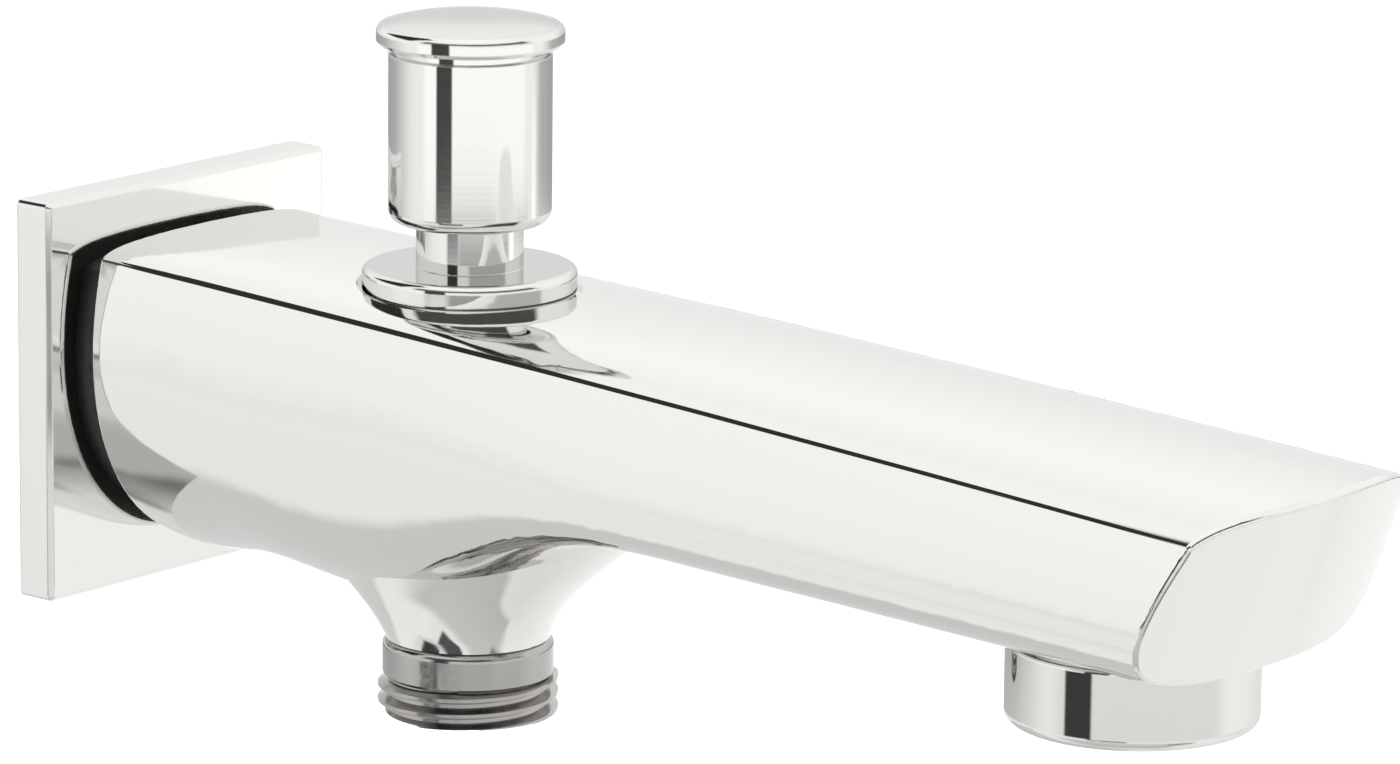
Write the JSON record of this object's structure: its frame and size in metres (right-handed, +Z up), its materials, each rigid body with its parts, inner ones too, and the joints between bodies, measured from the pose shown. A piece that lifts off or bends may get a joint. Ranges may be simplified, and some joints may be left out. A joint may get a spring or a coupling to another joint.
{
  "type": "bath spout",
  "caption": "Wall-mounted bath spout with a square flange, a sharp-ridged tapering casting, a pull-up diverter knob, a flared hand-shower outlet and a round aerator.",
  "frame": {"origin": "centre of the threaded inlet, on the wall plane at the back of the flange", "axes": "+X out of the wall along the spout, +Y across the spout, +Z up along the diverter knob"},
  "size_m": [0.17, 0.0476, 0.0817],
  "materials": {
    "chrome_plate": "bright chrome plate over brass",
    "turned_brass": "turned, unplated",
    "stainless_steel": "plain",
    "seal_rubber": "matt",
    "gasket_foam": "closed-cell foam",
    "moulded_plastic": "moulded"
  },
  "bodies": {
    "spout": {"spout_body": "chrome_plate", "wall_flange": "chrome_plate", "flange_gasket": "gasket_foam", "flange_o_ring": "seal_rubber", "inlet_washer": "seal_rubber", "shower_nipple": "chrome_plate", "nipple_o_ring": "seal_rubber", "upper_seat_ring": "turned_brass", "diverter_bonnet": "chrome_plate", "bonnet_o_ring": "seal_rubber", "diverter_spring": "stainless_steel", "aerator_ring": "chrome_plate", "aerator_washer": "seal_rubber", "aerator_jet_plate": "moulded_plastic", "upper_aerator_screen": "stainless_steel", "lower_aerator_screen": "stainless_steel", "aerator_grid": "moulded_plastic"},
    "diverter": {"diverter_knob": "chrome_plate", "knob_cap": "chrome_plate", "knob_screw": "stainless_steel", "diverter_spindle": "turned_brass", "lower_spindle_o_ring": "seal_rubber", "upper_spindle_o_ring": "seal_rubber", "valve_disc": "turned_brass", "lower_valve_washer": "seal_rubber", "upper_valve_washer": "seal_rubber", "valve_nut": "turned_brass", "spring_washer": "stainless_steel"}
  },
  "joints": [
    {"name": "diverter_lift", "type": "slide", "parent": "spout", "child": "diverter", "axis": [0, 0, 1], "range_m": [0, 0.007], "stiffness_N_per_m": 120, "springref_m": -0.004, "deforming": ["diverter_spring"]}
  ]
}
